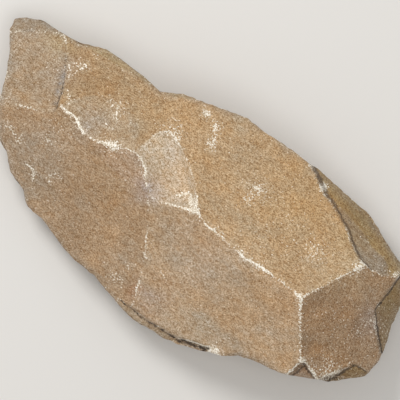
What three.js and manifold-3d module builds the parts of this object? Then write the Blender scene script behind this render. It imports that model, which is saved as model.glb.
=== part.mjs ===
// A stone hand axe: one cobble of quartzite, flaked to a point at one end and left thick at the butt.
// Millimetres and degrees. The tip points to +X, +Z is up, and the stone lies on its flat bed at z = 0.
import * as THREE from 'three';
import { mergeVertices } from 'three/addons/utils/BufferGeometryUtils.js';
import Module from 'manifold-3d';

const blankHeight = 45;
const toolReach = 150; // half the width of the widest cutting tool
const toolDepth = 70; // how far a tool clears the stone away above its face
const toolSides = 32;
const facetError = 0.12; // how far the facets of a hollow face may leave its true curve

// The plan of the blank, clockwise from the tip.
const outline = [
  [82.7, -19.7], [79.9, -22.2], [75, -24.4], [60.5, -25.6], [52.3, -29.5], [37, -29.4],
  [29.1, -28.1], [22.7, -32], [0.7, -38.5], [-8.2, -37.5], [-13.3, -38.4], [-28.5, -38.2],
  [-50, -36.2], [-69.5, -29], [-77, -18.8], [-79, -11], [-82.7, 1.7], [-81.7, 8.1],
  [-76.7, 12.7], [-72.9, 16.7], [-62.6, 21.6], [-58.1, 23.7], [-43.7, 27], [-36.7, 31.8],
  [-28.1, 34.8], [-20.1, 37.4], [-6, 38.5], [11.6, 34], [24, 33], [36.6, 29.2],
  [42.8, 28.5], [47, 24.9], [54.2, 22.6], [59.2, 17.8], [64, 15.5], [70.5, 6.3],
  [76.7, -8.5], [82, -15.7],
];

// A face is [x, y, z, slope, facing, dish]: it passes through x, y, z and falls by slope towards
// facing, which is 0 at the tip and 90 at +Y, and it is hollowed to the radius dish, or flat at 0.
// A flake scar takes away what lies outside all of its faces, so a second face is a step at its end.
const upperScars = {
  upperLong: [[-21, -18.5, 31.9, 21.3, -83, 700]],
  lowerLong: [[-22, 14, 29.1, 29.8, 78, 900]],
  left: [[30, 19, 18, 32.8, 74.5, 500]],
  butt: [[-64.8, -2, 29.3, 34.3, -178, 260]],
  upperTip: [[41, -18.5, 26.2, 21.8, -54, 500]],
  waist: [[22, -0.5, 31.3, 24, 61, 60]],
  tip: [[69, -10.5, 18.6, 24, -12, 300], [56.1, -10.3, 25.6, 78, 18, 60]],
  tipChip: [[50, -4.6, 28.3, 22, 62, 60]],
  tipBevel: [[76.8, -18.9, 14.4, 45, -38, 0]],
  marginBand: [[60, -26.5, 20, 50, -82, 200]],
  lens: [[43.5, -9.5, 27.6, 15, -56, 70]],
  crest: [
    [12.5, -7.5, 31.1, 10, -110, 120], [6.5, -13.8, 32.8, 55, 46, 35], [22.9, -14.7, 32.1, 45, 155, 40],
    [1, -1, 35.2, 60, -56, 0], [13.9, 0.2, 33.4, 22, -143, 0],
  ],
  rightSide: [[-52, -34.5, 20.9, 42, -102, 250], [-46, -28.5, 29.6, 80, -112, 0]],
  sideRim: [[-54.3, -29.4, 25.2, 58, -102, 0], [-46, -28.9, 29.6, 80, -112, 0]],
  buttCorner: [
    [-76.5, -12, 16.5, 50, -165, 60], [-71, -17.5, 25, 85, 180, 0], [-77, -5.5, 21.5, 84, -136, 0],
  ],
  heelChip: [[-64, 19.5, 28, 33, 118, 0], [-60.5, 19.4, 32.1, 62, 152, 0], [-65.5, 16.9, 30.2, 66, 83, 0]],
  buttChip: [
    [-76.5, 9.5, 20.4, 38, 136, 0], [-74.4, 10.9, 23.8, 76, 154, 0], [-79.2, 6.9, 20.6, 72, 103, 0],
  ],
  ledge: [[-20, 36.5, 13.4, 30, 92, 0], [-14, 35.4, 16.8, 84, 91, 0]],
  ledgeEnd: [[-27, 35, 14.6, 38, 106, 0], [-27, 33.9, 18.8, 84, 108, 0], [-34.5, 32, 20, 75, 15, 0]],
};

// Scars of the underside, [x, y, z, facing, run, dish]: from x, y, z on the margin, run inward to the bed.
const lowerScars = [
  [80, -14, 8, 18, 26, 90], [73.5, -1, 12, 24, 21, 60], [63, 16, 12, 49, 23, 60],
  [50, 24.5, 9, 58, 19, 70], [34, 30, 8.5, 72, 18, 60], [16, 34, 9, 84, 25, 100],
  [-3, 38.2, 11, 76, 31, 90], [-22, 37, 11, 106, 24, 100], [-42, 28.2, 19, 112, 17, 55],
  [-61, 22.4, 23, 112, 24, 90], [-77, 12.4, 15, 134, 19, 70], [-82, 2, 14, 174, 20, 100],
  [-78.4, -13, 10.5, -166, 16, 60], [-71, -27, 13, -128, 19, 70], [-50, -36.2, 12, -105, 22, 80],
  [-28, -38.2, 17, -92, 31, 90], [-7, -38, 20.5, -86, 25, 90], [14, -34.6, 20.5, -74, 24, 70],
  [33, -28.8, 17, -96, 17, 50], [52, -29.4, 12, -74, 17, 70], [68, -25, 9, -82, 17, 90],
];

const wasm = await Module();
wasm.setup();

function toSolid(geometry) {
  geometry.deleteAttribute('normal');
  geometry.deleteAttribute('uv');
  const merged = mergeVertices(geometry, 1e-4);
  const index = merged.index.array;
  const triangles = [];
  for (let i = 0; i < index.length; i += 3) {
    const [a, b, c] = index.slice(i, i + 3);
    if (a !== b && b !== c && c !== a) triangles.push(a, b, c);
  }
  const mesh = new wasm.Mesh({
    numProp: 3,
    vertProperties: new Float32Array(merged.attributes.position.array),
    triVerts: new Uint32Array(triangles),
  });
  return new wasm.Manifold(mesh);
}

function toGeometry(solid) {
  const mesh = solid.getMesh();
  const geometry = new THREE.BufferGeometry();
  geometry.setAttribute('position', new THREE.BufferAttribute(new Float32Array(mesh.vertProperties), 3));
  geometry.setIndex(new THREE.BufferAttribute(new Uint32Array(mesh.triVerts), 1));
  return geometry;
}

function blank() {
  const shape = new THREE.Shape(outline.map(([x, y]) => new THREE.Vector2(x, y)));
  return toSolid(new THREE.ExtrudeGeometry(shape, { depth: blankHeight, bevelEnabled: false }));
}

// The profile of a cutting tool, from the middle of its hollow face out to its rim and over its back.
function toolProfile(dish) {
  const reach = dish > 0 ? Math.min(toolReach, 0.9 * dish) : toolReach;
  const rings = dish > 0 ? Math.ceil(reach / Math.sqrt(8 * dish * facetError)) : 1;
  const profile = [];
  for (let i = 0; i <= rings; i += 1) {
    const radius = (reach * i) / rings;
    const rise = dish > 0 ? dish - Math.sqrt(dish ** 2 - radius ** 2) : 0;
    profile.push(new THREE.Vector2(radius, rise));
  }
  const back = profile[rings].y + toolDepth;
  profile.push(new THREE.Vector2(reach, back), new THREE.Vector2(0, back));
  return profile;
}

function outwardFrom(slope, facing) {
  const tilt = THREE.MathUtils.degToRad(slope);
  const turn = THREE.MathUtils.degToRad(facing);
  return new THREE.Vector3(Math.sin(tilt) * Math.cos(turn), Math.sin(tilt) * Math.sin(turn), Math.cos(tilt));
}

function cuttingTool([x, y, z, slope, facing, dish]) {
  const lathe = new THREE.LatheGeometry(toolProfile(dish), toolSides);
  const aim = new THREE.Quaternion();
  aim.setFromUnitVectors(new THREE.Vector3(0, 1, 0), outwardFrom(slope, facing));
  lathe.applyQuaternion(aim);
  lathe.translate(x, y, z);
  return toSolid(lathe);
}

function scarTool(faces) {
  return faces.map(cuttingTool).reduce((common, tool) => common.intersect(tool));
}

// The hollow of a lower scar is deepest half way down its run.
function lowerTool([x, y, z, facing, run, dish]) {
  const turn = THREE.MathUtils.degToRad(facing);
  const drop = Math.atan2(z, run);
  const depth = dish - Math.sqrt(dish ** 2 - (z ** 2 + run ** 2) / 4);
  const inward = run / 2 + depth * Math.sin(drop);
  const height = z / 2 + depth * Math.cos(drop);
  const slope = 180 - THREE.MathUtils.radToDeg(drop);
  return cuttingTool([x - inward * Math.cos(turn), y - inward * Math.sin(turn), height, slope, facing, dish]);
}

function handAxe() {
  const tools = [...Object.values(upperScars).map(scarTool), ...lowerScars.map(lowerTool)];
  const stone = tools.reduce((solid, tool) => solid.subtract(tool), blank());
  const quartzite = new THREE.MeshStandardMaterial({ color: '#a99074', roughness: 0.85, metalness: 0 });
  const mesh = new THREE.Mesh(toGeometry(stone), quartzite);
  mesh.name = 'hand_axe';
  return mesh;
}

const group = new THREE.Group();
group.add(handAxe());
export default group;
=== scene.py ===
# A stone hand axe: one cobble of coarse quartzite, flaked all over, lying on its bed on a pale floor.
# Its surface is worked out from the same flake scars as the solid one, and then gets worn arrises,
# fine relief and a patina with painted shade in it. Places on the stone are in drawn millimetres: the
# tip points to +X, +Z is up and the bed is at z = 0.
import math

import bpy
import numpy as np
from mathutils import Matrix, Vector


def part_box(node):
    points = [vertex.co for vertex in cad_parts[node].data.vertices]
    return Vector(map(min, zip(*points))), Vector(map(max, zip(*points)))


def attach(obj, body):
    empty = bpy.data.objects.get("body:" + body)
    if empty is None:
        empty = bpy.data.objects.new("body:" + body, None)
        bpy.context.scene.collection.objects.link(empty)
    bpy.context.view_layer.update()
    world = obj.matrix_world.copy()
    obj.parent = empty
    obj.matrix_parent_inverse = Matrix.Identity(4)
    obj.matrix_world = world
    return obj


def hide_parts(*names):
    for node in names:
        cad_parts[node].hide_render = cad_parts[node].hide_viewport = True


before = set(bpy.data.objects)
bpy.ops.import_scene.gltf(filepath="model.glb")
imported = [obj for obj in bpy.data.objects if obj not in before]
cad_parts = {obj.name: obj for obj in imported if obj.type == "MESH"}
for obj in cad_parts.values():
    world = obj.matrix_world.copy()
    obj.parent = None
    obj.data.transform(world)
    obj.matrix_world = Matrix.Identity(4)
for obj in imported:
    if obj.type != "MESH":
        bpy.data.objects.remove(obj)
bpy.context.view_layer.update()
print("frame loaded")

stoneLow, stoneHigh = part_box("hand_axe")

handAxe = {
    "drawnLength": 165.4,
    "gridSteps": (322, 147),  # quads along and across the upper sheet, and the lower one
    "marginRows": 4,  # rows of quads down the margin between them
    "gridOval": (82, 38),  # half length and half breadth of the oval that the grid is stretched over
    "arrisWear": (0.2, 0.6),  # how far each side an arris is worn down
    "wearSize": 6,  # size of the stretches that are more or less worn
    "arrisWander": ((0.7, 11), (0.3, 3.2), (0.12, 1.2)),  # how far and how often the arrises wander
    "marginWander": ((0.35, 5), (0.2, 1.6)),
    "marginRound": (0.4, 1.9),  # how far in the margin is rounded off or nibbled
    "nibbles": (0.4, 0.9, 3),  # mean, swing and size of the nibbling along the margin
    "roundAtMost": 0.45,  # of the thickness there, off each face
    "groove": (0.3, 0.5),  # depth and reach of the groove at the foot of a step, as strong as its soil and painted shade
    "relief": ((0.3, 11), (0.16, 4), (0.09, 1.8)),  # height and size of the bumps on a scar
    "reliefFrom": (0.2, 2.5),  # the bumps grow in between these heights, so that the bed stays flat
    "bedding": 1.4,  # how much longer bumps and grains are along the stone's bedding than across it
    "underShades": (0.92, 1.06),  # how dark and how light the scars of the underside are
    "seeds": {
        "above": 40, "below": 90, "underShades": 40, "relief": 70,
        "margin": 90, "nibbles": 91, "crushing": 95,
    },
}
mm = (stoneHigh[0] - stoneLow[0]) / handAxe["drawnLength"]

# The plan of the stone, clockwise from the tip.
outline = np.array([
    [82.7, -19.7], [79.9, -22.2], [75, -24.4], [60.5, -25.6], [52.3, -29.5], [37, -29.4],
    [29.1, -28.1], [22.7, -32], [0.7, -38.5], [-8.2, -37.5], [-13.3, -38.4], [-28.5, -38.2],
    [-50, -36.2], [-69.5, -29], [-77, -18.8], [-79, -11], [-82.7, 1.7], [-81.7, 8.1],
    [-76.7, 12.7], [-72.9, 16.7], [-62.6, 21.6], [-58.1, 23.7], [-43.7, 27], [-36.7, 31.8],
    [-28.1, 34.8], [-20.1, 37.4], [-6, 38.5], [11.6, 34], [24, 33], [36.6, 29.2],
    [42.8, 28.5], [47, 24.9], [54.2, 22.6], [59.2, 17.8], [64, 15.5], [70.5, 6.3],
    [76.7, -8.5], [82, -15.7],
])

# A face is (x, y, z, slope, facing, dish): it passes through x, y, z and falls by slope degrees towards
# facing, and it is hollowed to the radius dish, or flat at 0. A scar's first face is its floor, and any
# others are steps at its ends.
upperScars = {
    "upperLong": [(-21, -18.5, 31.9, 21.3, -83, 700)],
    "lowerLong": [(-22, 14, 29.1, 29.8, 78, 900)],
    "left": [(30, 19, 18, 32.8, 74.5, 500)],
    "butt": [(-64.8, -2, 29.3, 34.3, -178, 260)],
    "upperTip": [(41, -18.5, 26.2, 21.8, -54, 500)],
    "waist": [(22, -0.5, 31.3, 24, 61, 60)],
    "tip": [(69, -10.5, 18.6, 24, -12, 300), (56.1, -10.3, 25.6, 78, 18, 60)],
    "tipChip": [(50, -4.6, 28.3, 22, 62, 60)],
    "tipBevel": [(76.8, -18.9, 14.4, 45, -38, 0)],
    "marginBand": [(60, -26.5, 20, 50, -82, 200)],
    "lens": [(43.5, -9.5, 27.6, 15, -56, 70)],
    "crest": [
        (12.5, -7.5, 31.1, 10, -110, 120), (6.5, -13.8, 32.8, 55, 46, 35), (22.9, -14.7, 32.1, 45, 155, 40),
        (1, -1, 35.2, 60, -56, 0), (13.9, 0.2, 33.4, 22, -143, 0),
    ],
    "rightSide": [(-52, -34.5, 20.9, 42, -102, 250), (-46, -28.5, 29.6, 80, -112, 0)],
    "sideRim": [(-54.3, -29.4, 25.2, 58, -102, 0), (-46, -28.9, 29.6, 80, -112, 0)],
    "buttCorner": [
        (-76.5, -12, 16.5, 50, -165, 60), (-71, -17.5, 25, 85, 180, 0), (-77, -5.5, 21.5, 84, -136, 0),
    ],
    "heelChip": [
        (-64, 19.5, 28, 33, 118, 0), (-60.5, 19.4, 32.1, 62, 152, 0), (-65.5, 16.9, 30.2, 66, 83, 0),
    ],
    "buttChip": [
        (-76.5, 9.5, 20.4, 38, 136, 0), (-74.4, 10.9, 23.8, 76, 154, 0), (-79.2, 6.9, 20.6, 72, 103, 0),
    ],
    "ledge": [(-20, 36.5, 13.4, 30, 92, 0), (-14, 35.4, 16.8, 84, 91, 0)],
    "ledgeEnd": [(-27, 35, 14.6, 38, 106, 0), (-27, 33.9, 18.8, 84, 108, 0), (-34.5, 32, 20, 75, 15, 0)],
}

# Scars of the underside, (x, y, z, facing, run, dish): from x, y, z on the margin, run inward to the bed.
lowerRuns = [
    (80, -14, 8, 18, 26, 90), (73.5, -1, 12, 24, 21, 60), (63, 16, 12, 49, 23, 60),
    (50, 24.5, 9, 58, 19, 70), (34, 30, 8.5, 72, 18, 60), (16, 34, 9, 84, 25, 100),
    (-3, 38.2, 11, 76, 31, 90), (-22, 37, 11, 106, 24, 100), (-42, 28.2, 19, 112, 17, 55),
    (-61, 22.4, 23, 112, 24, 90), (-77, 12.4, 15, 134, 19, 70), (-82, 2, 14, 174, 20, 100),
    (-78.4, -13, 10.5, -166, 16, 60), (-71, -27, 13, -128, 19, 70), (-50, -36.2, 12, -105, 22, 80),
    (-28, -38.2, 17, -92, 31, 90), (-7, -38, 20.5, -86, 25, 90), (14, -34.6, 20.5, -74, 24, 70),
    (33, -28.8, 17, -96, 17, 50), (52, -29.4, 12, -74, 17, 70), (68, -25, 9, -82, 17, 90),
]

# The look of each scar: the tone on its floor and on its steps, or the same twice where it has none. The
# tones are patina with painted shade: each floor tone also carries the part of the facet's shading that
# the lamps leave out, and the darker step tones are painted shade on the steep walls.
scarTonesAndShade = {
    "upperLong": ("#b0936f", "#b0936f"),
    "lowerLong": ("#b39777", "#b39777"),
    "left": ("#a98c6c", "#a98c6c"),
    "butt": ("#9e8060", "#9e8060"),
    "upperTip": ("#a48763", "#a48763"),
    "waist": ("#aa8e72", "#aa8e72"),
    "tip": ("#a08a70", "#978570"),
    "tipChip": ("#9c8060", "#9c8060"),
    "tipBevel": ("#98846c", "#98846c"),
    "marginBand": ("#a88e66", "#a88e66"),
    "lens": ("#a68e70", "#a68e70"),
    "crest": ("#c2ab8f", "#c2ad92"),
    "rightSide": ("#94826c", "#6e5a46"),
    "sideRim": ("#9c8258", "#6e5a46"),
    "buttCorner": ("#90744a", "#6c563f"),
    "heelChip": ("#9c7c5e", "#80664c"),
    "buttChip": ("#8c7048", "#6c563f"),
    "ledge": ("#ac9272", "#7c6650"),
    "ledgeEnd": ("#947a5e", "#7c6650"),
}
underTone = "#a88e70"

# How strongly the arris between two scars is crushed white, and the spots where it is more or less so:
# (x, y, radius, change).
crushedArrises = {
    ("left", "lens"): 0.68, ("tipChip", "lens"): 0.68, ("waist", "lens"): 0.6, ("left", "upperTip"): 0.4,
    ("upperTip", "lens"): 0.12, ("waist", "crest"): 0.72, ("upperTip", "crest"): 0.3,
    ("upperLong", "crest"): 0.4, ("lowerLong", "crest"): 0.45, ("lowerLong", "left"): 0.3,
    ("upperLong", "lowerLong"): 0.7, ("upperLong", "butt"): 0.42, ("lowerLong", "butt"): 0.46,
    ("butt", "buttCorner"): 0.2, ("butt", "buttChip"): 0.35, ("butt", "heelChip"): 0.45,
    ("lowerLong", "heelChip"): 0.45, ("lowerLong", "ledge"): 0.6, ("lowerLong", "ledgeEnd"): 0.7,
    ("left", "ledge"): 0.6, ("upperLong", "rightSide"): 0.35, ("butt", "rightSide"): 0.35,
    ("rightSide", "sideRim"): 0.15, ("tip", "tipBevel"): 0.17, ("tip", "upperTip"): 0.25,
}
faintCrush = 0.08  # between any other two scars
crushSpots = [
    (44, -3.7, 3.5, 0.2), (-3.5, -3.2, 3, 0.35), (-7.6, -2.8, 1.1, -0.6), (-20.5, -1, 1.6, 0.4),
    (-48.7, -0.5, 2.5, 0.25), (19, -5.5, 4, 0.2), (18, -20, 4, 0.25), (2, -8, 3.5, -0.4),
    (-59, -20.5, 3, 0.15), (7, 8, 5, -0.3), (4.5, 13, 3, 0.35), (-61.5, 17, 3, 0.2), (30, -6, 3, -0.3),
    (36, -3, 2, -0.2), (78, -17.5, 3, 0.1), (-53, -8, 4, -0.15), (-55, 8, 4, -0.15), (-38, 0, 4, -0.15),
]

# How much soil and painted shade darken the foot of a scar's step.
stepFootShadeAndSoil = {
    "tip": 0.8, "rightSide": 0.6, "sideRim": 0.5, "buttCorner": 1, "heelChip": 0.8, "buttChip": 0.8,
    "ledge": 1, "ledgeEnd": 1,
}

# Short crushed lines off the arrises: from x, y to x, y, bow to the left, strength and depth of dent.
crushMarks = [
    (52.5, 17.8, 46, 20.9, 2, 0.5, 0.3), (41.3, 18.3, 39.1, 13.4, 2, 0.35, 0.15),
    (66.7, 3.7, 58, 0.6, 0.2, 0.4, 0), (63.6, 10.6, 57.5, 12.8, 0.3, 0.3, 0.1),
    (59.2, -18.5, 53.3, -21.6, 0.4, 0.3, 0), (55.9, -15.6, 52.9, -21.8, 0.8, 0.3, 0.1),
    (59.2, -18.5, 56.2, -13.7, 0.2, 0.4, 0), (54.8, -11.5, 51, -6.5, 0.4, 0.3, 0),
    (38.7, -9.7, 33.8, -9.8, -0.9, 0.3, 0.1), (34.3, -11, 38.2, -19.8, 0.9, 0.25, 0.1),
    (4.3, -3.3, 1.4, -7.1, 0.3, 0.75, 0), (1.4, -7.1, -1.4, -3.4, 0.2, 0.8, 0),
    (13.2, -31.4, 6.4, -28.3, 1.4, 0.3, 0.15), (6.4, -28.3, 6.8, -23.4, 1.6, 0.3, 0.15),
    (-5.3, 19.7, -8.9, 20.1, -0.3, 0.35, 0), (-28.5, 25.7, -29.5, 24.2, 0, 0.3, 0),
    (-14, -20.7, -19.3, -21.7, 0.4, 0.3, 0.1),
]

# Colour that the ground has left: x, y, radius, colour and strength. The small grey spots from 58.3, -15
# to 56, -4.5 are painted shade along the tip's step.
stainsAndPaintedShade = [
    (13, 0.8, 4.5, "#a09490", 0.55), (-8, 28.5, 5, "#a8968c", 0.4), (41, -6, 5, "#9f9388", 0.4),
    (49, 10, 10, "#9d8d7a", 0.4), (-4, 3, 4, "#b09880", 0.2), (-2.7, 30.8, 2.8, "#96663e", 0.6),
    (-11.5, 2.5, 5, "#b98f62", 0.45), (-30, -26, 16, "#b58e58", 0.3), (-52, -26, 8, "#a88a5a", 0.3),
    (-54, -16, 7, "#bda684", 0.35), (-47, 3, 6, "#a27c54", 0.4), (-74, -8, 6, "#948680", 0.4),
    (10, -26, 9, "#b28a5a", 0.3), (30, 8, 12, "#a07e58", 0.35), (58, -16, 5, "#8e8680", 0.35),
    (66, -23, 5, "#b0945e", 0.35), (58.3, -15, 1.5, "#847e78", 0.7), (57.3, -11.5, 1.3, "#847e78", 0.8),
    (56.6, -8, 1.2, "#847e78", 0.7), (56, -4.5, 1, "#847e78", 0.6), (-16, 11, 8, "#baa690", 0.4),
    (-27, 27, 5, "#b0a490", 0.35), (26, 28, 9, "#8c7358", 0.45), (46, 20, 7, "#94836e", 0.35),
]

# Where white crushed grains gather: x, y, radius and how thickly.
grainSpots = [
    (12.5, -31.5, 1.6, 0.6), (7, -29.5, 2, 0.35), (5.5, -24, 2.5, 0.35), (-16.5, -21, 4.5, 0.28),
    (-44, -16, 4.5, 0.25), (-15.5, -16.3, 2, 0.25), (36, -14, 5, 0.22), (-33.5, -34.7, 1.5, 0.8),
    (-58.8, -20, 2.5, 0.4), (17.5, -20.3, 4, 0.35), (31, -4.5, 3, 0.45), (-1, -4.2, 2, 0.25),
    (-70, -25.3, 1.3, 0.6), (-36, 31, 2.4, 0.7), (-70, 13.5, 5, 0.3), (64, 10.5, 2, 0.3),
    (57.5, 12.5, 2, 0.3), (50, 7, 2.5, 0.25), (5, 31, 3.5, 0.3), (3.5, 25, 1.8, 0.3), (-3.6, 29.5, 2, 0.2),
    (74.5, -3, 2.5, 0.22), (70, 4, 3, 0.15), (62, -15, 3, 0.12), (-10, 14, 8, 0.1), (55, -21, 2.5, 0.15),
    (-66, -2, 14, 0.14), (-30, -14, 14, 0.08), (40, 14, 12, 0.06), (48, 2, 4, 0.1), (-75, -8, 4, 0.15),
]
scatteredGrains = 0.07  # how thickly they lie everywhere else

# Pushes that bend the arrises near x, y: radius, and how far along x and y.
arrisBends = [
    (-10, -1.5, 6, 0, 1.5), (-19, -0.5, 7, 0, 0.8), (-28, 0, 7, 0, 1.2), (-34, -31.5, 6, 0.4, 0.9),
    (-56, -24, 5, 0.4, 0.9), (-68, -23, 3.5, 0, 1.6), (47.5, -4, 2.8, 0, -1.4), (62, 2, 6, 0, -1.4),
    (18, -6, 4, -0.7, -0.5), (24, -9, 3, 0.6, 0.4),
]

outOfReach = 999  # mm; a height or a way past the whole stone
noStep = 99  # mm; the way to the foot of a step where there is none
latticeCells = 40  # a pattern of bumps repeats after so many of its cells


# Smooth random bumps from -1 to 1: random values on a cubic lattice of the given size, eased between
# the eight corners of each cell.
def lumps(points, size, seed):
    lattice = np.random.default_rng(seed).uniform(-1, 1, (latticeCells, latticeCells, latticeCells))
    scaled = points / size
    cell = np.floor(scaled).astype(int)
    part = scaled - cell
    ease = part * part * (3 - 2 * part)
    total = np.zeros(len(points))
    for corner in np.ndindex(2, 2, 2):
        i, j, k = ((cell + corner) % latticeCells).T
        total += lattice[i, j, k] * np.prod(np.where(corner, ease, 1 - ease), axis=1)
    return total


# One layer of bumps for each pair of height and size.
def layeredLumps(points, layers, seed):
    return sum(height * lumps(points, size, seed + n) for n, (height, size) in enumerate(layers))


# From 0 below the first bound to 1 above the second, eased at both ends.
def smoothStep(first, second, value):
    part = np.clip((value - first) / (second - first), 0, 1)
    return part * part * (3 - 2 * part)


# The places x, y in the plane z = 0.
def flat3(x, y):
    return np.stack([x, y, np.zeros_like(x)], axis=1)


# A smooth spot at each place, strength times exp(- distance squared / radius squared), added up.
def spotField(x, y, spots):
    return sum(spot[3] * np.exp(-((x - spot[0]) ** 2 + (y - spot[1]) ** 2) / spot[2] ** 2) for spot in spots)


# How far the plan reaches from its middle in the direction (dx, dy): the crossing of that ray with the
# outline's side there, cross(P, Q) / cross(direction, Q - P) for the side from P to Q.
def outlineReach(dx, dy):
    corners = outline[::-1]
    ends = np.roll(corners, -1, axis=0)
    start = np.arctan2(corners[:, 1], corners[:, 0])
    order = np.argsort(start)
    side = order[np.searchsorted(start[order], np.arctan2(dy, dx), side="right") - 1]
    p, q = corners[side], ends[side]
    across = p[:, 0] * q[:, 1] - p[:, 1] * q[:, 0]
    return across / (dx * (q - p)[:, 1] - dy * (q - p)[:, 0])


# The shortest way from x, y to the outline.
def marginDistance(x, y):
    nearest = np.full(len(x), float(outOfReach))
    for p, q in zip(outline, np.roll(outline, -1, axis=0)):
        along = q - p
        part = np.clip(((x - p[0]) * along[0] + (y - p[1]) * along[1]) / (along @ along), 0, 1)
        nearest = np.minimum(nearest, np.hypot(x - p[0] - part * along[0], y - p[1] - part * along[1]))
    return nearest


# Height and slopes of one face over x, y. Flat: the plane through its point, square to its outward
# direction. Hollow: the near side of a ball of that radius that touches the point from outside.
def faceHeight(face, x, y):
    px, py, pz, slope, facing, dish = face
    tilt, turn = math.radians(slope), math.radians(facing)
    out = np.array([math.sin(tilt) * math.cos(turn), math.sin(tilt) * math.sin(turn), math.cos(tilt)])
    if dish == 0:
        slopeX, slopeY = -out[0] / out[2], -out[1] / out[2]
        z = pz + (x - px) * slopeX + (y - py) * slopeY
        return np.stack([z, np.full_like(x, slopeX), np.full_like(x, slopeY)])
    middle = np.array([px, py, pz]) + dish * out
    side = np.sign(out[2])
    inside = dish ** 2 - (x - middle[0]) ** 2 - (y - middle[1]) ** 2
    root = np.sqrt(np.maximum(inside, 0.01))  # stays a number past the edge of the ball
    z = np.where(inside > 0, middle[2] - side * root, side * outOfReach)
    return np.stack([z, side * (x - middle[0]) / root, side * (y - middle[1]) / root])


# A scar of the underside as a face: the hollow is deepest half way down its run.
def lowerFace(run):
    x, y, z, facing, reach, dish = run
    turn = math.radians(facing)
    drop = math.atan2(z, reach)
    depth = dish - math.sqrt(dish ** 2 - (z ** 2 + reach ** 2) / 4)
    inward = reach / 2 + depth * math.sin(drop)
    height = z / 2 + depth * math.cos(drop)
    return (x - inward * math.cos(turn), y - inward * math.sin(turn), height,
            180 - math.degrees(drop), facing, dish)


bed = (0, 0, 0, 180, 0, 0)
upperFaces = list(upperScars.values())
lowerFaces = [[bed]] + [[lowerFace(run)] for run in lowerRuns]


# The signed way to where two faces meet: their difference in height over their difference in slope.
def wayToMeeting(one, two):
    turn = np.hypot(one[:, 1] - two[:, 1], one[:, 2] - two[:, 2])
    return (one[:, 0] - two[:, 0]) / np.maximum(turn, 0.05)  # faces can be all but parallel


# The stone's surface seen from one side, 1 for above and -1 for below. A scar leaves the furthest out
# of its faces, and the stone keeps the furthest in of its scars. Gives the height, the scar, whether
# its step is met, the signed ways to the foot of that step and to the arris, and the next scar there.
def stoneSheet(scars, side, x, y):
    here = np.arange(len(x))
    left, onStep, foot = [], [], []
    for faces in scars:
        made = side * np.stack([faceHeight(face, x, y) for face in faces])
        outer = made[:, 0].argmax(axis=0)
        left.append(made[outer, :, here])
        onStep.append(outer > 0)
        nearest = np.full(len(x), float(noStep))
        for step in made[1:]:
            way = wayToMeeting(made[0].T, step.T)
            nearest = np.where(np.abs(way) < np.abs(nearest), way, nearest)
        foot.append(nearest)
    left, onStep, foot = np.stack(left), np.stack(onStep), np.stack(foot)
    first, second = np.argsort(left[:, :, 0], axis=0)[:2]
    mine, other = left[first, here], left[second, here]
    way = wayToMeeting(other, mine)
    arris = np.where(first < second, way, -way)
    return side * mine[:, 0], first, onStep[first, here].astype(int), foot[first, here], arris, second


# The same with arrises that bend, wander and are worn. Bends and wander shift the places that are
# looked up. Wear takes the mean over a place and six round it, which also softens the tones, painted
# shade included, across an arris. Wander along x, wander along y and wear draw from seeds that are
# ten apart.
def wornSheet(scars, side, tones, x, y):
    seed = handAxe["seeds"]["above" if side > 0 else "below"]
    spread = np.stack([x, y, np.full_like(x, 7 * side)], axis=1)  # two levels, for two patterns
    if side > 0:
        pushX = spotField(x, y, [(px, py, radius, dx) for px, py, radius, dx, dy in arrisBends])
        pushY = spotField(x, y, [(px, py, radius, dy) for px, py, radius, dx, dy in arrisBends])
        x, y = x - pushX, y - pushY
    x = x + layeredLumps(spread, handAxe["arrisWander"], seed)
    y = y + layeredLumps(spread, handAxe["arrisWander"], seed + 10)
    low, high = handAxe["arrisWear"]
    wear = low + (high - low) * (0.5 + 0.5 * lumps(spread, handAxe["wearSize"], seed + 20))
    places = [(0, 0)] + [(math.cos(k * math.pi / 3), math.sin(k * math.pi / 3)) for k in range(6)]
    height, tone = 0, 0
    for dx, dy in places:
        z, scar, onStep, *_ = stoneSheet(scars, side, x + dx * wear, y + dy * wear)
        height = height + z / len(places)
        tone = tone + tones[scar, onStep] / len(places)
    _, scar, _, foot, arris, other = stoneSheet(scars, side, x, y)
    return height, tone, foot, arris, scar, other


# An sRGB hex colour as linear red, green and blue.
def linear(hexColour):
    parts = [int(hexColour[i:i + 2], 16) / 255 for i in (1, 3, 5)]
    return [p / 12.92 if p <= 0.04045 else ((p + 0.055) / 1.055) ** 2.4 for p in parts]


# The crushing between each two scars, as a table that a pair of scar numbers looks up.
def crushTable():
    names = list(upperScars)
    table = np.full((len(names), len(names)), faintCrush)
    for (one, two), strength in crushedArrises.items():
        i, j = names.index(one), names.index(two)
        table[i, j] = table[j, i] = strength
    return table


crushing = {
    "patches": (0.9, 0.7, 3.5),  # mean, swing and size of the stretches that are more or less crushed
    "patchLimits": (0.25, 1.3),
    "markEnds": (-0.05, 0.15),  # a mark fades in between these parts of its chord, and out likewise
    "dentEdge": (0.2, -0.3),  # mm off the line, between which a dent falls away
    "dentReach": 2.5,
    "halo": (0.35, 2.5),  # how thickly and how far off grains lie beside a crushed arris
    "marginWhitening": (0.2, 0.5),  # how much and how far in the speckle is whitened near the margin
    "under": (0.15, 0.03),  # crushing and grains of the underside
}


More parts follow.
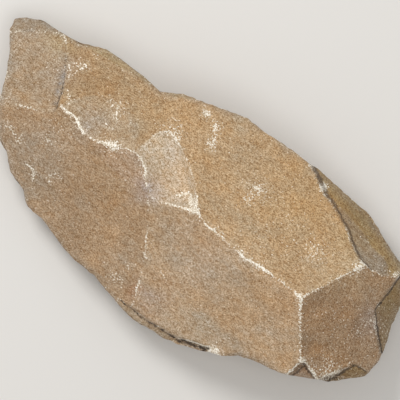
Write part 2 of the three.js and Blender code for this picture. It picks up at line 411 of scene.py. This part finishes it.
# Each mark is a bow over its chord: at the part t of the chord the line stands 4 t (1 - t) bow off it.
# Of an arris and a mark, the one with the larger strength times exp(- way to it) is kept, and a dent lies
# inside each bow.
def addMarks(x, y, arris, crush):
    dent = np.zeros_like(x)
    start, full = crushing["markEnds"]
    for x1, y1, x2, y2, bow, strength, depth in crushMarks:
        length = math.hypot(x2 - x1, y2 - y1)
        dx, dy = (x2 - x1) / length, (y2 - y1) / length
        part = ((x - x1) * dx + (y - y1) * dy) / length
        off = (y - y1) * dx - (x - x1) * dy - 4 * bow * part * (1 - part)
        off = off / np.sqrt(1 + (4 * bow * (1 - 2 * part) / length) ** 2)
        fade = smoothStep(start, full, part) * smoothStep(1 - start, 1 - full, part)
        nearer = fade * strength * np.exp(-np.abs(off)) > crush * np.exp(-np.abs(arris))
        arris = np.where(nearer, off, arris)
        crush = np.where(nearer, fade * strength, crush)
        behind = np.exp(np.minimum(off, 0) / crushing["dentReach"])
        dent += depth * fade * smoothStep(*crushing["dentEdge"], off) * behind
    return arris, crush, dent


# A square grid squeezed into a round one, u = a sqrt(1 - b b / 2) and v = b sqrt(1 - a a / 2), then
# stretched to the oval, and to the outline by 1 + (its reach / the oval's - 1) (u u + v v).
def planGrid():
    along, across = handAxe["gridSteps"]
    a, b = np.meshgrid(np.linspace(-1, 1, along + 1), np.linspace(-1, 1, across + 1), indexing="ij")
    u = (a * np.sqrt(1 - b * b / 2)).ravel()
    v = (b * np.sqrt(1 - a * a / 2)).ravel()
    halfLength, halfBreadth = handAxe["gridOval"]
    around = np.arctan2(v, u)
    rimX, rimY = halfLength * np.cos(around), halfBreadth * np.sin(around)
    rimReach = np.hypot(rimX, rimY)
    dx, dy = rimX / rimReach, rimY / rimReach
    wanted = outlineReach(dx, dy)
    seed = handAxe["seeds"]["margin"]
    wanted = wanted + layeredLumps(flat3(wanted * dx, wanted * dy), handAxe["marginWander"], seed)
    stretch = 1 + (wanted / rimReach - 1) * (u * u + v * v)
    return halfLength * u * stretch, halfBreadth * v * stretch


# How far the rounded margin falls below the sheet: a quarter circle of the given radius, r less the root
# of r r - (r - inward) (r - inward).
def marginFall(inward, radius):
    short = np.maximum(radius - inward, 0)
    return radius - np.sqrt(np.maximum(radius ** 2 - short ** 2, 0))


# The upper sheet: its height, and what each place on it looks like.
def upperSheet(x, y):
    names = list(upperScars)
    tones = np.array([[linear(tone) for tone in scarTonesAndShade[name]] for name in names])
    top, tone, foot, arris, scar, other = wornSheet(upperFaces, 1, tones, x, y)
    # how strongly soil and painted shade darken the foot of the step here
    footShadeAndSoil = np.array([stepFootShadeAndSoil.get(name, 0) for name in names])[scar]
    known = crushTable()[scar, other]
    crush = np.clip(known + spotField(x, y, crushSpots), 0, 1)
    crush = np.where(known > faintCrush, crush, faintCrush)
    mean, swing, size = crushing["patches"]
    patches = mean + swing * lumps(flat3(x, y), size, handAxe["seeds"]["crushing"])
    crush = crush * np.clip(patches, *crushing["patchLimits"])
    arris, crush, dent = addMarks(x, y, arris, crush)
    depth, reach = handAxe["groove"]
    groove = depth * footShadeAndSoil * np.exp(-(foot / reach) ** 2)
    thick, far = crushing["halo"]
    halo = thick * crush * np.clip(1 - np.abs(arris) / far, 0, 1)
    crumbs = scatteredGrains + halo + spotField(x, y, grainSpots)
    return top - dent - groove, {
        "tone": tone, "foot": foot, "footShadeAndSoil": footShadeAndSoil, "arris": arris, "crush": crush, "crumbs": crumbs,
    }


# The lower sheet: the bed and the scars that run in to it, each a little lighter or darker.
def lowerSheet(x, y):
    random = np.random.default_rng(handAxe["seeds"]["underShades"])
    shades = random.uniform(*handAxe["underShades"], (len(lowerFaces), 1, 1))
    tones = np.array(linear(underTone)) * shades * np.ones((1, 2, 1))
    base, tone, _, arris, *_ = wornSheet(lowerFaces, -1, tones, x, y)
    nothing = np.zeros_like(x)
    crush, crumbs = crushing["under"]
    return base, {
        "tone": tone, "foot": nothing + noStep, "footShadeAndSoil": nothing, "arris": arris,
        "crush": nothing + crush, "crumbs": nothing + crumbs,
    }


# The whole skin: the upper sheet, the margin and the lower sheet, with the rim rows shared.
def stoneSkin():
    x, y = planGrid()
    top, above = upperSheet(x, y)
    base, below = lowerSheet(x, y)
    thick = top - base
    print("thinnest margin", round(float(thick.min()), 2), "mm")
    inward = marginDistance(x, y)
    low, high = handAxe["marginRound"]
    mean, swing, size = handAxe["nibbles"]
    nibble = np.clip(lumps(flat3(x, y), size, handAxe["seeds"]["nibbles"]) * swing + mean, 0, 1)
    radius = np.minimum(low + (high - low) * nibble, handAxe["roundAtMost"] * thick)
    fall = marginFall(inward, radius)
    top, base = top - fall, base + fall
    crumbs, reach = crushing["marginWhitening"]
    for fields in (above, below):
        fields["inward"] = inward
        fields["crumbs"] = fields["crumbs"] + crumbs * np.exp(-inward / reach)

    along, across = handAxe["gridSteps"]
    rows = handAxe["marginRows"]
    index = np.arange(len(x)).reshape(along + 1, across + 1)
    rim = np.concatenate([index[:-1, 0], index[-1, :-1], index[:0:-1, -1], index[0, :0:-1]])
    downs = np.arange(1, rows)[:, None] / rows
    margin = np.stack([
        np.broadcast_to(x[rim], (rows - 1, len(rim))), np.broadcast_to(y[rim], (rows - 1, len(rim))),
        top[rim] * (1 - downs) + base[rim] * downs,
    ], axis=2).reshape(-1, 3)
    points = np.concatenate([np.stack([x, y, top], axis=1), margin, np.stack([x, y, base], axis=1)])

    lowerStart = len(x) + len(margin)
    ring = np.concatenate([
        rim[None], len(x) + np.arange(len(margin)).reshape(rows - 1, len(rim)), lowerStart + rim[None],
    ])
    nextRing = np.roll(ring, -1, axis=1)
    corners = [index[:-1, :-1], index[1:, :-1], index[1:, 1:], index[:-1, 1:]]
    topQuads = np.stack(corners, axis=2).reshape(-1, 4)
    wallQuads = np.stack([ring[:-1], ring[1:], nextRing[1:], nextRing[:-1]], axis=2).reshape(-1, 4)
    quads = np.concatenate([topQuads, wallQuads, lowerStart + topQuads[:, ::-1]])

    fields = {}
    for name in above:
        middle = (above[name][rim] + below[name][rim]) / 2
        fields[name] = np.concatenate([above[name], *[middle] * (rows - 1), below[name]])
    return points, quads, fields


# A smooth mesh of quads, filled from whole arrays.
def buildMesh(points, quads):
    mesh = bpy.data.meshes.new("stone")
    mesh.vertices.add(len(points))
    mesh.vertices.foreach_set("co", points.astype(np.float32).ravel())
    mesh.loops.add(quads.size)
    mesh.loops.foreach_set("vertex_index", quads.astype(np.int32).ravel())
    mesh.polygons.add(len(quads))
    mesh.polygons.foreach_set("loop_start", np.arange(0, quads.size, 4, dtype=np.int32))
    mesh.polygons.foreach_set("use_smooth", np.ones(len(quads), bool))
    mesh.update(calc_edges=True)
    mesh.validate()
    return mesh


# One value or colour at each vertex, for the material to read.
def setAttribute(mesh, name, kind, values):
    field = "color" if kind == "FLOAT_COLOR" else "value"
    layer = mesh.attributes.new(name, kind, "POINT")
    layer.data.foreach_set(field, values.astype(np.float32).ravel())


patinaLook = {
    "clouds": ((0.07, 16), (0.07, 6), (0.06, 2.6)),  # lighter and greyer, or darker and browner
    "warmth": ((0.04, 14), (0.055, 5), (0.05, 2.4)),  # redder or bluer
    "cloudTint": (0.6, 1, 1.6),  # how much of a cloud goes to red, green and blue
    "warmthTint": (1, 0.2, -1),
    "stainsAbove": (6, 12),  # stains grow in between these heights, as the underside has none
    "stainShift": (2.5, 5),  # how far their edges wander, and how often
    "margin": "#958a7c",
    "marginStrength": 0.5,
    "marginWidth": 1.8,
    "marginPatches": (0.6, 0.6, 4),  # mean, swing and size of the stretches that are more or less grey
    "seeds": {"clouds": 120, "warmth": 130, "stainX": 140, "stainY": 141, "margin": 150},
}


# Patina and painted shade: the scar's tone with its painted shade, clouded, with the stains and the
# painted shade by the tip's step laid over it, and greyer near the margin.
def patinaAndShade(points, tone, inward):
    look, seeds = patinaLook, patinaLook["seeds"]
    bedded = points / (handAxe["bedding"], 1, 1)
    cloud = layeredLumps(bedded, look["clouds"], seeds["clouds"])[:, None] * np.array(look["cloudTint"])
    warmth = layeredLumps(bedded, look["warmth"], seeds["warmth"])[:, None] * np.array(look["warmthTint"])
    colour = tone * (1 + cloud) * (1 + warmth)
    above = smoothStep(*look["stainsAbove"], points[:, 2])
    shift, size = look["stainShift"]
    shiftX = points[:, 0] + shift * lumps(points, size, seeds["stainX"])
    shiftY = points[:, 1] + shift * lumps(points, size, seeds["stainY"])
    for x, y, radius, hexColour, strength in stainsAndPaintedShade:
        cover = np.exp(-((shiftX - x) ** 2 + (shiftY - y) ** 2) / radius ** 2) * strength * above
        colour = colour + cover[:, None] * (np.array(linear(hexColour)) - colour)
    mean, swing, size = look["marginPatches"]
    patches = mean + swing * lumps(points, size, seeds["margin"])
    # Greyer near the margin, in patches.
    greyingNearMargin = np.exp(-(inward / look["marginWidth"]) ** 2) * patches
    cover = np.clip(greyingNearMargin, 0, 1)[:, None] * look["marginStrength"]
    return colour + cover * (np.array(linear(look["margin"])) - colour)


# The skin pushed out along its normals by the relief, as one mesh with its patina, painted shade
# included, and other fields.
def makeStone():
    points, quads, fields = stoneSkin()
    mesh = buildMesh(points, quads)
    normals = np.empty(len(points) * 3, np.float32)
    mesh.vertices.foreach_get("normal", normals)
    bedded = points / (handAxe["bedding"], 1, 1)
    relief = layeredLumps(bedded, handAxe["relief"], handAxe["seeds"]["relief"])
    relief = relief * smoothStep(*handAxe["reliefFrom"], points[:, 2])
    points = points + normals.reshape(-1, 3) * relief[:, None]
    points[:, 2] -= points[:, 2].min()
    mesh.vertices.foreach_set("co", (points * mm).astype(np.float32).ravel())
    mesh.update()
    colour = patinaAndShade(points, fields["tone"], fields["inward"])
    setAttribute(mesh, "patinaAndShade", "FLOAT_COLOR", np.concatenate([colour, np.ones((len(points), 1))], axis=1))
    for name in ("foot", "footShadeAndSoil", "arris", "crush", "crumbs"):
        setAttribute(mesh, name, "FLOAT", fields[name])
    stone = bpy.data.objects.new("flaked_stone", mesh)
    bpy.context.scene.collection.objects.link(stone)
    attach(stone, "root")
    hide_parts("hand_axe")
    print("stone surface made:", len(quads), "quads")
    return stone


# Adds one node. Settings are its own values; inputs are numbers, colours, or the nodes or sockets that
# feed it, a node by its first output.
def addNode(tree, kind, settings, inputs):
    made = tree.nodes.new(kind)
    for name, value in settings.items():
        setattr(made, name, value)
    for name, value in inputs.items():
        if isinstance(value, bpy.types.Node):
            value = value.outputs[0]
        if isinstance(value, bpy.types.NodeSocket):
            tree.links.new(value, made.inputs[name])
        else:
            made.inputs[name].default_value = value
    return made


mixFactor, mixFirst, mixSecond, mixResult = 0, 6, 7, 2  # the colour sockets of a Mix node

quartzite = {
    "grainSize": 0.38,  # mm; the grains of such a stone are about 0.3 to 0.5
    "grainSpan": (0.3, 0.7),  # the values that the noise mostly keeps to
    "grainTints": ((0.52, 0.43, 0.28), (1.48, 1.57, 1.72)),  # a bright grain is greyer than a dark one
    "clusterSize": 1.2,
    "clusterSpan": (0.25, 0.75),
    "clusterTints": ((0.84, 0.75, 0.62), (1.16, 1.25, 1.38)),
    "crushed": "#ece2d0",  # crushed grains along bruised arrises
    "crushedSize": 0.6,
    "crowding": 0.5,  # how much crushing and loose grains raise the speckle
    "whiteFrom": (0.7, 0.84),  # the speckle whitens between these values
    "whitest": 0.9,
    "lineWidth": 0.62,  # mm from the middle of a crushed line to its side
    # soil and painted shade at the foot of a step
    "footShadeAndSoil": "#3a2b1f",
    "crackWidth": (0.1, 0.5),  # mm; darkest within the first and clean past the second
    "darkest": 0.95,
    "raggedSize": 0.9,
    "raggedReach": 0.3,
    "roughness": (0.95, 0.7),  # of a dark grain and of a bright one
    "ior": 1.54,  # quartz
    "grainRise": 0.14,  # mm
    "clusterRise": 0.2,
}


# Quartzite, knapped: sugary grains of quartz in a tan patina that carries painted shade, dull with a few
# glints, white where its arrises are crushed and dark with soil and painted shade at the foot of each step.
def quartziteMaterial():
    look = quartzite
    material = bpy.data.materials.new("knapped_quartzite")
    material.use_nodes = True
    tree = material.node_tree
    tree.nodes.clear()
    place = addNode(tree, "ShaderNodeTexCoord", {}, {})
    bedded = addNode(tree, "ShaderNodeMapping", {}, {  # in drawn mm, squeezed along the bedding
        "Vector": place.outputs["Object"], "Scale": (1 / (handAxe["bedding"] * mm), 1 / mm, 1 / mm),
    })
    # the patina, with the painted shade of the facets and steps in it
    patinaAndShadeColour = addNode(tree, "ShaderNodeAttribute", {"attribute_name": "patinaAndShade"}, {})
    arris = addNode(tree, "ShaderNodeAttribute", {"attribute_name": "arris"}, {})
    crush = addNode(tree, "ShaderNodeAttribute", {"attribute_name": "crush"}, {})
    crumbs = addNode(tree, "ShaderNodeAttribute", {"attribute_name": "crumbs"}, {})
    foot = addNode(tree, "ShaderNodeAttribute", {"attribute_name": "foot"}, {})
    footShadeAndSoil = addNode(tree, "ShaderNodeAttribute", {"attribute_name": "footShadeAndSoil"}, {})

    low, high = look["grainSpan"]
    grain = addNode(tree, "ShaderNodeTexNoise", {}, {"Vector": bedded, "Scale": 1 / look["grainSize"]})
    grainPart = addNode(tree, "ShaderNodeMapRange", {}, {"Value": grain, "From Min": low, "From Max": high})
    darkGrain, brightGrain = look["grainTints"]
    grainTint = addNode(tree, "ShaderNodeMix", {"data_type": "RGBA"}, {
        mixFactor: grainPart, mixFirst: (*darkGrain, 1), mixSecond: (*brightGrain, 1),
    })
    cluster = addNode(tree, "ShaderNodeTexNoise", {}, {"Vector": bedded, "Scale": 1 / look["clusterSize"]})
    lowCluster, highCluster = look["clusterSpan"]
    clusterPart = addNode(tree, "ShaderNodeMapRange", {}, {
        "Value": cluster, "From Min": lowCluster, "From Max": highCluster,
    })
    darkCluster, brightCluster = look["clusterTints"]
    clusterTint = addNode(tree, "ShaderNodeMix", {"data_type": "RGBA"}, {
        mixFactor: clusterPart, mixFirst: (*darkCluster, 1), mixSecond: (*brightCluster, 1),
    })
    clustered = addNode(tree, "ShaderNodeMix", {"data_type": "RGBA", "blend_type": "MULTIPLY"}, {
        mixFactor: 1.0, mixFirst: patinaAndShadeColour.outputs["Color"], mixSecond: clusterTint.outputs[mixResult],
    })
    wiggle = addNode(tree, "ShaderNodeTexNoise", {}, {"Vector": bedded, "Scale": 1 / look["raggedSize"]})
    ragged = addNode(tree, "ShaderNodeMapRange", {}, {
        "Value": wiggle, "From Min": low, "From Max": high,
        "To Min": -look["raggedReach"], "To Max": look["raggedReach"],
    })
    arrisWay = addNode(tree, "ShaderNodeMath", {"operation": "ADD"}, {0: arris.outputs["Fac"], 1: ragged})
    offArris = addNode(tree, "ShaderNodeMath", {"operation": "ABSOLUTE"}, {0: arrisWay})
    nearArris = addNode(tree, "ShaderNodeMapRange", {}, {
        "Value": offArris, "From Min": 0.0, "From Max": look["lineWidth"], "To Min": 1.0, "To Max": 0.0,
    })
    crowd = addNode(tree, "ShaderNodeMath", {"operation": "MULTIPLY_ADD"}, {
        0: nearArris, 1: crush.outputs["Fac"], 2: crumbs.outputs["Fac"],
    })
    speckle = addNode(tree, "ShaderNodeTexNoise", {}, {
        "Vector": place.outputs["Object"], "Scale": 1 / (look["crushedSize"] * mm),
    })
    piled = addNode(tree, "ShaderNodeMath", {"operation": "MULTIPLY_ADD"}, {
        0: crowd, 1: look["crowding"], 2: speckle,
    })
    plain, whitened = look["whiteFrom"]
    white = addNode(tree, "ShaderNodeMapRange", {}, {
        "Value": piled, "From Min": plain, "From Max": whitened, "To Min": 0.0, "To Max": look["whitest"],
    })
    crushed = addNode(tree, "ShaderNodeMix", {"data_type": "RGBA"}, {
        mixFactor: white, mixFirst: clustered.outputs[mixResult], mixSecond: (*linear(look["crushed"]), 1),
    })

    grained = addNode(tree, "ShaderNodeMix", {
        "data_type": "RGBA", "blend_type": "MULTIPLY", "clamp_result": True,
    }, {
        mixFactor: 1.0, mixFirst: crushed.outputs[mixResult], mixSecond: grainTint.outputs[mixResult],
    })

    # A dark line of soil and painted shade along the foot of each step.
    footWay = addNode(tree, "ShaderNodeMath", {"operation": "ADD"}, {0: foot.outputs["Fac"], 1: ragged})
    offFoot = addNode(tree, "ShaderNodeMath", {"operation": "ABSOLUTE"}, {0: footWay})
    darkWithin, cleanPast = look["crackWidth"]
    nearFoot = addNode(tree, "ShaderNodeMapRange", {}, {
        "Value": offFoot, "From Min": darkWithin, "From Max": cleanPast,
        "To Min": look["darkest"], "To Max": 0.0,
    })
    dark = addNode(tree, "ShaderNodeMath", {"operation": "MULTIPLY"}, {0: nearFoot, 1: footShadeAndSoil.outputs["Fac"]})
    shadedAndSoiled = addNode(tree, "ShaderNodeMix", {"data_type": "RGBA"}, {
        mixFactor: dark, mixFirst: grained.outputs[mixResult], mixSecond: (*linear(look["footShadeAndSoil"]), 1),
    })

    clusterHeight = addNode(tree, "ShaderNodeMath", {"operation": "MULTIPLY"}, {
        0: cluster, 1: look["clusterRise"],
    })
    height = addNode(tree, "ShaderNodeMath", {"operation": "MULTIPLY_ADD"}, {
        0: grain, 1: look["grainRise"], 2: clusterHeight,
    })
    bump = addNode(tree, "ShaderNodeBump", {}, {"Distance": mm, "Height": height})
    dullest, glossiest = look["roughness"]
    rough = addNode(tree, "ShaderNodeMapRange", {}, {
        "Value": grain, "From Min": low, "From Max": high, "To Min": dullest, "To Max": glossiest,
    })
    shader = addNode(tree, "ShaderNodeBsdfPrincipled", {}, {
        "Base Color": shadedAndSoiled.outputs[mixResult], "Roughness": rough, "IOR": look["ior"], "Normal": bump,
    })
    addNode(tree, "ShaderNodeOutputMaterial", {}, {"Surface": shader})
    print("quartzite made")
    return material


studio = {
    "floorSize": 9.0,
    "floorTone": "#dedbd6",
    "floorRoughness": 0.9,
    "surround": "#e6e6e6",
    "surroundStrength": 0.6,
    "cameraHeight": 3.0,
    "frameWidth": 133.33,  # drawn mm across the picture at the height of the stone's margin
    "marginHeight": 15,  # drawn mm
    "aim": (-2.7, -7.05),  # the middle of the picture on the stone
    "roll": -144,  # the tip points up and to the left
}
# Each light: bearing round the stone and angle from overhead in degrees, distance and breadth in metres,
# and power in watts.
lights = {
    "key_light": (-24, 42, 0.9, 0.4, 4.0),
    "fill_light": (150, 15, 1.2, 0.8, 3.6),
}


def plainMaterial(name, hexColour, roughness):
    material = bpy.data.materials.new(name)
    material.use_nodes = True
    shader = material.node_tree.nodes["Principled BSDF"]
    shader.inputs["Base Color"].default_value = (*linear(hexColour), 1)
    shader.inputs["Roughness"].default_value = roughness
    return material


def makeFloor():
    half = studio["floorSize"] / 2
    mesh = bpy.data.meshes.new("studio_floor")
    corners = [(-half, -half, 0), (half, -half, 0), (half, half, 0), (-half, half, 0)]
    mesh.from_pydata(corners, [], [(0, 1, 2, 3)])
    mesh.materials.append(plainMaterial("studio_paper", studio["floorTone"], studio["floorRoughness"]))
    floor = bpy.data.objects.new("studio_floor", mesh)
    bpy.context.scene.collection.objects.link(floor)


def makeLights():
    for name, (bearing, fromAbove, distance, breadth, power) in lights.items():
        lamp = bpy.data.lights.new(name, "AREA")
        lamp.shape = "DISK"
        lamp.size = breadth
        lamp.energy = power
        turn, lean = math.radians(bearing), math.radians(fromAbove)
        out = Vector((math.sin(lean) * math.cos(turn), math.sin(lean) * math.sin(turn), math.cos(lean)))
        holder = bpy.data.objects.new(name, lamp)
        holder.location = out * distance
        holder.rotation_euler = out.to_track_quat("Z", "Y").to_euler()
        holder.visible_camera = False
        bpy.context.scene.collection.objects.link(holder)
    world = bpy.data.worlds.new("studio_surround")
    world.use_nodes = True
    back = world.node_tree.nodes["Background"]
    back.inputs["Color"].default_value = (*linear(studio["surround"]), 1)
    back.inputs["Strength"].default_value = studio["surroundStrength"]
    bpy.context.scene.world = world
    bpy.context.scene.view_settings.view_transform = "Standard"


def makeCamera():
    lens = bpy.data.cameras.new("overhead_camera")
    reach = studio["cameraHeight"] - studio["marginHeight"] * mm
    lens.lens = lens.sensor_width * reach / (studio["frameWidth"] * mm)
    camera = bpy.data.objects.new("overhead_camera", lens)
    middle = (stoneLow + stoneHigh) / 2
    aimX, aimY = studio["aim"]
    camera.location = (middle.x + aimX * mm, middle.y + aimY * mm, studio["cameraHeight"])
    camera.rotation_euler = (0, 0, math.radians(studio["roll"]))
    bpy.context.scene.collection.objects.link(camera)
    bpy.context.scene.camera = camera


stone = makeStone()
stone.data.materials.append(quartziteMaterial())
makeFloor()
makeLights()
makeCamera()
print("studio made")
